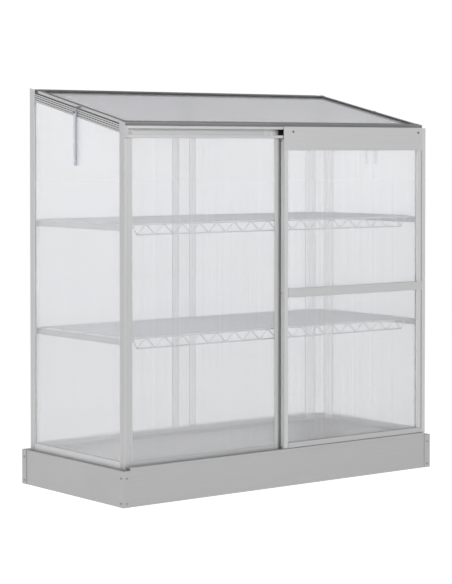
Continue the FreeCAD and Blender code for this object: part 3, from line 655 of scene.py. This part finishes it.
# Lid: four aluminium rails round a twin-wall pane, with a round bead along the back that turns in the
# back rail's socket, and a steel peg on either side for the prop stays. The front and back rails and the
# side rails' top faces are painted darker, and the rails' inner faces near black, as painted shade.
lid_painted_shade_tone = (0.28, 0.28, 0.283)
lid_back_painted_shade_tone = (0.165, 0.165, 0.168)
lid_dullness = 0.4
inner_lip_shade_tone = (0.06, 0.06, 0.061)
lid_tint = (0.93, 0.93, 0.955)
lid_rib_tint = (0.86, 0.86, 0.885)
lid_flute_tilt = 0.035
lid_clearness = 0.7
lid_lean = 0.212
lid_rise = 0.977
up_from_lid = (0.0, -lid_lean, lid_rise)
peg_tone = (0.34, 0.34, 0.345)
peg_edge_break = 0.0004


def moulded_plastic(name, tone, dullness, grain_depth):
    """Moulded plastic or rubber with a fine spark-eroded grain and slight shade changes."""
    finish, shader, (add, feed, sums, vector) = new_finish(name)
    place = add("ShaderNodeTexCoord").outputs["Object"]
    grain = add("ShaderNodeTexNoise")
    feed(grain.inputs["Vector"], place)
    feed(grain.inputs["Scale"], 1600.0)
    feed(grain.inputs["Detail"], 2.0)
    drift = add("ShaderNodeTexNoise")
    feed(drift.inputs["Vector"], place)
    feed(drift.inputs["Scale"], 28.0)
    shade = uneven_tone(add, tone, darker=0.93, lighter=1.05, spread=0.2)
    feed(shade.inputs["Fac"], drift.outputs["Fac"])
    relief = add("ShaderNodeBump")
    feed(relief.inputs["Height"], grain.outputs["Fac"])
    feed(relief.inputs["Strength"], grain_depth)
    feed(relief.inputs["Distance"], 0.0001)
    feed(shader.inputs["Base Color"], shade.outputs["Color"])
    feed(shader.inputs["Normal"], relief.outputs["Normal"])
    feed(shader.inputs["Roughness"], dullness)
    return finish


lid_cross_painted_shade = drawn_aluminium("lid_cross_painted_shade", lid_painted_shade_tone, crosswise_grain, lid_dullness,
                                      rail_grain_depth)
lid_back_painted_shade = drawn_aluminium("lid_back_painted_shade", lid_back_painted_shade_tone, crosswise_grain, lid_dullness,
                                     rail_grain_depth)
lid_top_painted_shade = drawn_aluminium("lid_top_painted_shade", lid_painted_shade_tone, fore_and_aft_grain, lid_dullness,
                                     rail_grain_depth)
inner_lip_painted_shade = moulded_plastic("inner_lip_painted_shade", inner_lip_shade_tone, dullness=0.6, grain_depth=0.1)
# Painted shade: darker front and back rails, near-black inner faces, darker top faces on the side rails.
for node, finish, inwards in (("lid_front_rail", lid_cross_painted_shade, (0.0, lid_rise, lid_lean)),
                              ("lid_back_rail", lid_back_painted_shade, (0.0, -lid_rise, -lid_lean))):
    rail = rail_piece(node, "lid", finish)
    paint_tone_on_faces(rail, inner_lip_painted_shade, inwards)
for node, inwards in (("lid_left_rail", (1.0, 0.0, 0.0)), ("lid_right_rail", (-1.0, 0.0, 0.0))):
    rail = rail_piece(node, "lid", fore_and_aft_aluminium)
    paint_tone_on_faces(rail, lid_top_painted_shade, up_from_lid)
    paint_tone_on_faces(rail, inner_lip_painted_shade, inwards)
lid_sheet = twin_wall("twin_wall_lid", along_x, up_from_lid, lid_tint, lid_rib_tint, lid_flute_tilt,
                      lid_clearness)
sheet_piece("lid_pane", "lid", lid_sheet)
peg_steel = plated_steel("zinc_plated_peg", peg_tone, dullness=0.4)
eased_copy("lid_prop_pegs", "lid", peg_steel, peg_edge_break)

# Prop stays: notched bars of moulded grey plastic that hang on a shouldered steel bolt at either side and
# swing up to catch the pegs.
stay_tone = (0.47, 0.47, 0.54)
stay_edge_break = 0.0005
bolt_tone = (0.16, 0.16, 0.165)
bolt_edge_break = 0.0005
stay_plastic = moulded_plastic("stay_plastic", stay_tone, dullness=0.45, grain_depth=0.15)
for side in ("left", "right"):
    eased_copy("stay_" + side, side + "_stay", stay_plastic, stay_edge_break)
bolt_steel = plated_steel("dark_stay_bolt", bolt_tone, dullness=0.4)
eased_copy("stay_pivot_bolts", "frame", bolt_steel, bolt_edge_break)

# Sliding door: two grooved aluminium stiles, a head board that hangs from the rollers, a mid rail and a
# bottom rail with thin plates on their fronts, and two twin-wall panes in their slots. The stiles' sides
# and slots are painted lighter than their fronts and the panes get a lighter tint, as painted light; the
# bottom rail is painted darker, as painted shade.
stile_side_painted_light_tone = (0.72, 0.72, 0.722)
door_foot_painted_shade_tone = (0.42, 0.42, 0.422)
door_sheet_painted_light_tint = (0.934, 0.935, 0.944)
stile_side_painted_light = rail_aluminium("stile_side_painted_light", stile_side_painted_light_tone, upright_grain)
door_foot_painted_shade = rail_aluminium("door_foot_painted_shade", door_foot_painted_shade_tone, crosswise_grain)
# Painted light on the stiles' sides and slots.
for node, side_painted_light in (("door_stile_left", stile_side_painted_light), ("door_stile_right", slot_painted_light)):
    stile = rail_piece(node, "door", door_upright_painted_light)
    paint_light_in_slots(stile, slot_painted_light)
    paint_tone_on_faces(stile, side_painted_light, (-1.0, 0.0, 0.0))
    paint_tone_on_faces(stile, side_painted_light, (1.0, 0.0, 0.0))
for node, finish in (("door_head_board", crosswise_aluminium), ("door_mid_rail", crosswise_aluminium),
                     ("door_bottom_rail", door_foot_painted_shade)):
    rail_piece(node, "door", finish)
# The door's panes get a lighter tint: painted light.
door_sheet = twin_wall("twin_wall_door", along_x, frontwards, door_sheet_painted_light_tint)
for node in ("door_upper_pane", "door_lower_pane"):
    sheet_piece(node, "door", door_sheet)

# Door screws: six slim zinc-plated pan heads that go through the edges of the stiles into the ends of
# the head board and the rails.
door_screw_head = 0.0024
door_screw_height = 0.001
door_screw_recess = 0.0006
door_screw_shank = 0.0015
door_screw_length = 0.031
left_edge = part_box("door_stile_left")[0].x
right_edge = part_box("door_stile_right")[1].x
screw_low, screw_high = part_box("door_screws")
door_screw_y = (screw_low.y + screw_high.y) / 2
mid_low, mid_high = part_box("door_mid_rail")
door_screw_places = []
for z in (screw_low.z + door_screw_head, (mid_low.z + mid_high.z) / 2, screw_high.z - door_screw_head):
    door_screw_places.append(((left_edge, door_screw_y, z), (-1, 0, 0)))
    door_screw_places.append(((right_edge, door_screw_y, z), (1, 0, 0)))
door_screws = grown_mesh("door_pan_heads", screw_tree, {
    "Head Radius": door_screw_head,
    "Head Height": door_screw_height,
    "Recess": door_screw_recess,
    "Shank Radius": door_screw_shank,
    "Shank Length": door_screw_length,
    "Finish": screw_steel,
}, door_screw_places)
fit_piece(door_screws, "door_screws", "door")

# Rollers: two black nylon wheels in the header's channel, each fixed on a steel axle bolt that turns in
# the head board.
roller_tone = (0.035, 0.035, 0.036)
roller_edge_break = 0.0006
axle_tone = (0.12, 0.12, 0.122)
axle_edge_break = 0.0005
roller_nylon = moulded_plastic("roller_nylon", roller_tone, dullness=0.5, grain_depth=0.1)
axle_steel = plated_steel("axle_steel", axle_tone, dullness=0.4)
for side in ("left", "right"):
    eased_copy("roller_" + side, side + "_roller", roller_nylon, roller_edge_break)
    eased_copy("roller_axle_" + side, side + "_roller", axle_steel, axle_edge_break)

# Wire shelves: thin cross wires welded on four long rods, with a zigzag truss of bent wire under the
# front edge, all painted light grey. They lie on two folded side supports that run from post to post.
wire_radius = 0.00175
wire_pitch = 0.02
wire_overhang = 0.004
long_rod_radius = 0.0025
long_rods = 4
zigzag_radius = 0.002
zigzag_bend = 0.004
zigzag_pitch = 0.0685
truss_leg = 0.018
truss_end_gap = 0.011
wire_sides = 10
rod_sides = 12
zigzag_sides = 8
shelf_tone = (0.6, 0.6, 0.61)


def tube(tools, curve, radius, sides):
    """A round wire along a curve, closed at its ends."""
    add, feed, sums, vector = tools
    ring = add("GeometryNodeCurvePrimitiveCircle")
    feed(ring.inputs["Resolution"], sides)
    feed(ring.inputs["Radius"], radius)
    skin = add("GeometryNodeCurveToMesh")
    feed(skin.inputs["Curve"], curve)
    feed(skin.inputs["Profile Curve"], ring.outputs["Curve"])
    feed(skin.inputs["Fill Caps"], True)
    return skin.outputs["Mesh"]


def straight_tube(tools, start, end, radius, sides):
    """A straight round wire from one point to another."""
    add, feed, sums, vector = tools
    line = add("GeometryNodeCurvePrimitiveLine")
    feed(line.inputs["Start"], start)
    feed(line.inputs["End"], end)
    return tube(tools, line.outputs["Curve"], radius, sides)


def wire_deck_tree():
    """Cross wires side by side on long rods."""
    tree = new_tree("wire_deck", ("Wire Radius", "Wire Pitch", "Wire Front", "Wire Back", "Wire Height",
                                  "Rod Radius", "Rod Half Length", "Rod Front", "Rod Back", "Rod Height"),
                    ("Wire Count", "Rod Count"), "Deck")
    tools = tree_tools(tree)
    add, feed, sums, vector = tools
    given = add("NodeGroupInput").outputs

    wire_row = add("GeometryNodeMeshLine", mode="OFFSET", count_mode="TOTAL")
    gaps = sums("SUBTRACT", given["Wire Count"], 1)
    row_start = sums("MULTIPLY", gaps, sums("MULTIPLY", given["Wire Pitch"], -0.5))
    feed(wire_row.inputs["Count"], given["Wire Count"])
    feed(wire_row.inputs["Start Location"], vector(row_start, 0.0, 0.0))
    feed(wire_row.inputs["Offset"], vector(given["Wire Pitch"], 0.0, 0.0))
    wire = straight_tube(tools, vector(0.0, given["Wire Front"], given["Wire Height"]),
                         vector(0.0, given["Wire Back"], given["Wire Height"]),
                         given["Wire Radius"], wire_sides)
    wires = add("GeometryNodeInstanceOnPoints")
    feed(wires.inputs["Points"], wire_row.outputs["Mesh"])
    feed(wires.inputs["Instance"], wire)

    rod_row = add("GeometryNodeMeshLine", mode="END_POINTS", count_mode="TOTAL")
    feed(rod_row.inputs["Count"], given["Rod Count"])
    feed(rod_row.inputs["Start Location"], vector(0.0, given["Rod Front"], 0.0))
    feed(rod_row.inputs["Offset"], vector(0.0, given["Rod Back"], 0.0))
    rod_start = sums("MULTIPLY", given["Rod Half Length"], -1.0)
    rod = straight_tube(tools, vector(rod_start, 0.0, given["Rod Height"]),
                        vector(given["Rod Half Length"], 0.0, given["Rod Height"]),
                        given["Rod Radius"], rod_sides)
    rods = add("GeometryNodeInstanceOnPoints")
    feed(rods.inputs["Points"], rod_row.outputs["Mesh"])
    feed(rods.inputs["Instance"], rod)
    finish_tree(tools, [wires.outputs["Instances"], rods.outputs["Instances"]], given["Finish"], "Deck")
    return tree


def zigzag_truss_tree():
    """A bent zigzag wire between two straight rods, with a slanted leg at either end."""
    tree = new_tree("zigzag_truss", ("Top", "Foot", "Front", "Top Half Length", "Foot Half Length", "Leg",
                                     "Rod Radius", "Zigzag Radius", "Bend"), ("Bays",), "Truss")
    tools = tree_tools(tree)
    add, feed, sums, vector = tools
    given = add("NodeGroupInput").outputs
    front = given["Front"]
    top = given["Top"]
    foot = given["Foot"]
    foot_half = given["Foot Half Length"]

    shapes = []
    for half, height in ((given["Top Half Length"], top), (foot_half, foot)):
        shapes.append(straight_tube(tools, vector(sums("MULTIPLY", half, -1.0), front, height),
                                    vector(half, front, height), given["Rod Radius"], rod_sides))

    corners = add("GeometryNodeMeshLine", mode="END_POINTS", count_mode="TOTAL")
    feed(corners.inputs["Count"], sums("ADD", sums("MULTIPLY", given["Bays"], 2), 1))
    feed(corners.inputs["Start Location"], vector(sums("MULTIPLY", foot_half, -1.0), front, foot))
    feed(corners.inputs["Offset"], vector(foot_half, front, foot))
    odd = sums("MODULO", add("GeometryNodeInputIndex").outputs["Index"], 2)
    raise_odd = add("GeometryNodeSetPosition")
    feed(raise_odd.inputs["Geometry"], corners.outputs["Mesh"])
    feed(raise_odd.inputs["Offset"], vector(0.0, 0.0, sums("MULTIPLY", odd, sums("SUBTRACT", top, foot))))
    path = add("GeometryNodeMeshToCurve")
    feed(path.inputs["Mesh"], raise_odd.outputs["Geometry"])
    bend = add("GeometryNodeFilletCurve", mode="POLY")
    feed(bend.inputs["Curve"], path.outputs["Curve"])
    feed(bend.inputs["Count"], 3)
    feed(bend.inputs["Radius"], given["Bend"])
    shapes.append(tube(tools, bend.outputs["Curve"], given["Zigzag Radius"], zigzag_sides))

    for side in (-1.0, 1.0):
        leg_top = sums("MULTIPLY", sums("ADD", foot_half, given["Leg"]), side)
        shapes.append(straight_tube(tools, vector(sums("MULTIPLY", foot_half, side), front, foot),
                                    vector(leg_top, front, top), given["Zigzag Radius"], zigzag_sides))
    finish_tree(tools, shapes, given["Finish"], "Truss")
    return tree


def painted_wire(name, tone):
    """Light grey paint on steel wire, a little uneven and rubbed."""
    finish, shader, (add, feed, sums, vector) = new_finish(name)
    coat = add("ShaderNodeTexNoise")
    feed(coat.inputs["Vector"], add("ShaderNodeTexCoord").outputs["Object"])
    feed(coat.inputs["Scale"], 120.0)
    feed(coat.inputs["Detail"], 4.0)
    shade = uneven_tone(add, tone, darker=0.86, lighter=1.06, spread=0.15)
    feed(shade.inputs["Fac"], coat.outputs["Fac"])
    dull = add("ShaderNodeMapRange")
    feed(dull.inputs["Value"], coat.outputs["Fac"])
    feed(dull.inputs["To Min"], 0.3)
    feed(dull.inputs["To Max"], 0.5)
    feed(shader.inputs["Base Color"], shade.outputs["Color"])
    feed(shader.inputs["Roughness"], dull.outputs["Result"])
    feed(shader.inputs["Metallic"], 0.4)
    return finish


shelf_grey = painted_wire("shelf_grey", shelf_tone)
deck_tree = wire_deck_tree()
truss_tree = zigzag_truss_tree()
for place in ("upper", "lower"):
    deck_low, deck_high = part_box(place + "_shelf_deck")
    shelf_front = deck_low.y + wire_overhang
    shelf_back = deck_high.y - wire_overhang
    rod_step = (shelf_back - shelf_front) / long_rods
    deck = grown_mesh(place + "_wire_deck", deck_tree, {
        "Wire Radius": wire_radius,
        "Wire Pitch": wire_pitch,
        "Wire Front": deck_low.y,
        "Wire Back": deck_high.y,
        "Wire Height": deck_high.z - wire_radius,
        "Wire Count": int((2 * deck_high.x - wire_pitch) // wire_pitch) + 1,
        "Rod Radius": long_rod_radius,
        "Rod Half Length": deck_high.x,
        "Rod Front": shelf_front + rod_step,
        "Rod Back": shelf_back,
        "Rod Height": deck_low.z + long_rod_radius,
        "Rod Count": long_rods,
        "Finish": shelf_grey,
    })
    fit_piece(deck, place + "_shelf_deck", "frame")
    truss_low, truss_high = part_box(place + "_shelf_truss")
    foot_half = truss_high.x - truss_end_gap - truss_leg
    truss = grown_mesh(place + "_zigzag_truss", truss_tree, {
        "Top": truss_high.z - long_rod_radius,
        "Foot": truss_low.z + long_rod_radius,
        "Front": shelf_front,
        "Top Half Length": truss_high.x,
        "Foot Half Length": foot_half,
        "Leg": truss_leg,
        "Rod Radius": long_rod_radius,
        "Zigzag Radius": zigzag_radius,
        "Bend": zigzag_bend,
        "Bays": round(2 * foot_half / zigzag_pitch),
        "Finish": shelf_grey,
    })
    fit_piece(truss, place + "_shelf_truss", "frame")
    for side in ("left", "right"):
        rail_piece(place + "_shelf_support_" + side, "frame", fore_and_aft_aluminium)

# Floor: one wide pale sheet that the greenhouse stands on and that is not part of it. It glows a little,
# so that it stays as pale as the sky behind.
floor_radius = 60.0
floor_drop = 0.0005
floor_dark = (0.49, 0.49, 0.49, 1.0)
floor_light = (0.51, 0.51, 0.51, 1.0)
floor_finish, shader, (add, feed, sums, vector) = new_finish("pale_floor")
drift = add("ShaderNodeTexNoise")
feed(drift.inputs["Vector"], add("ShaderNodeTexCoord").outputs["Object"])
feed(drift.inputs["Scale"], 0.8)
pale = add("ShaderNodeValToRGB")
pale.color_ramp.elements[0].color = floor_dark
pale.color_ramp.elements[1].color = floor_light
feed(pale.inputs["Fac"], drift.outputs["Fac"])
feed(shader.inputs["Base Color"], pale.outputs["Color"])
feed(shader.inputs["Emission Color"], pale.outputs["Color"])
feed(shader.inputs["Emission Strength"], 1.65)
feed(shader.inputs["Roughness"], 1.0)
feed(shader.inputs["Specular IOR Level"], 0.0)
floor_shape = bmesh.new()
bmesh.ops.create_circle(floor_shape, cap_ends=True, radius=floor_radius, segments=96)
for corner in floor_shape.verts:
    corner.co.z = -floor_drop
floor = new_piece("floor", floor_shape, floor_finish)

# Light: a pale sky that is bright round the horizon and dim overhead, and two soft boxes higher than the
# lid and tipped a little down, one before the front and one before the left side. The left one isn't
# mirrored in the metal and the sheets.
horizon_glow = (1.0, 1.0, 1.0, 1.0)
upper_glow = (0.26, 0.26, 0.27, 1.0)
overhead_glow = (0.3, 0.3, 0.31, 1.0)
glow_starts_to_fade = 0.12
glow_has_faded = 0.48
soft_box_width = 1.6
soft_box_height = 1.0
soft_box_pitch = math.radians(80)
sky = bpy.data.worlds.new("studio_sky")
bpy.context.scene.world = sky
sky.use_nodes = True
add, feed, sums, vector = tree_tools(sky.node_tree)
height = add("ShaderNodeSeparateXYZ")
feed(height.inputs["Vector"], add("ShaderNodeTexCoord").outputs["Generated"])
fade = add("ShaderNodeValToRGB")
fade.color_ramp.elements[0].position = glow_starts_to_fade
fade.color_ramp.elements[0].color = horizon_glow
fade.color_ramp.elements[1].color = overhead_glow
fade.color_ramp.elements.new(glow_has_faded).color = upper_glow
feed(fade.inputs["Fac"], height.outputs["Z"])
glow = sky.node_tree.nodes["Background"]
feed(glow.inputs["Color"], fade.outputs["Color"])
feed(glow.inputs["Strength"], 1.01)
for name, power, spot, turn, mirrored in (
    ("front_soft_box", 38.0, (0.1, -3.4, 1.75), 0.0, True),
    ("left_soft_box", 46.0, (-3.6, 0.0, 1.9), -90.0, False),
):
    box = bpy.data.lights.new(name, "AREA")
    box.shape = "RECTANGLE"
    box.size = soft_box_width
    box.size_y = soft_box_height
    box.energy = power
    box_object = bpy.data.objects.new(name, box)
    box_object.location = spot
    box_object.rotation_euler = (soft_box_pitch, 0.0, math.radians(turn))
    box_object.visible_camera = False
    box_object.visible_glossy = mirrored
    bpy.context.scene.collection.objects.link(box_object)

# Camera: near the height of the lid, turned to the left front corner as in the photograph. It looks a
# little down, and its picture is shifted so that the whole greenhouse is in view.
camera_spot = (-4.01741, -5.11392, 1.08052)
camera_dip = 1.45
camera_turn = 38.002
camera = bpy.data.cameras.new("camera")
camera.lens = 121.352
camera.sensor_width = 36.0
camera.shift_y = -0.16
camera_object = bpy.data.objects.new("camera", camera)
camera_object.location = camera_spot
camera_object.rotation_euler = (math.radians(90 - camera_dip), 0.0, math.radians(-camera_turn))
bpy.context.scene.collection.objects.link(camera_object)
bpy.context.scene.camera = camera_object
bpy.context.scene.view_settings.view_transform = "Standard"
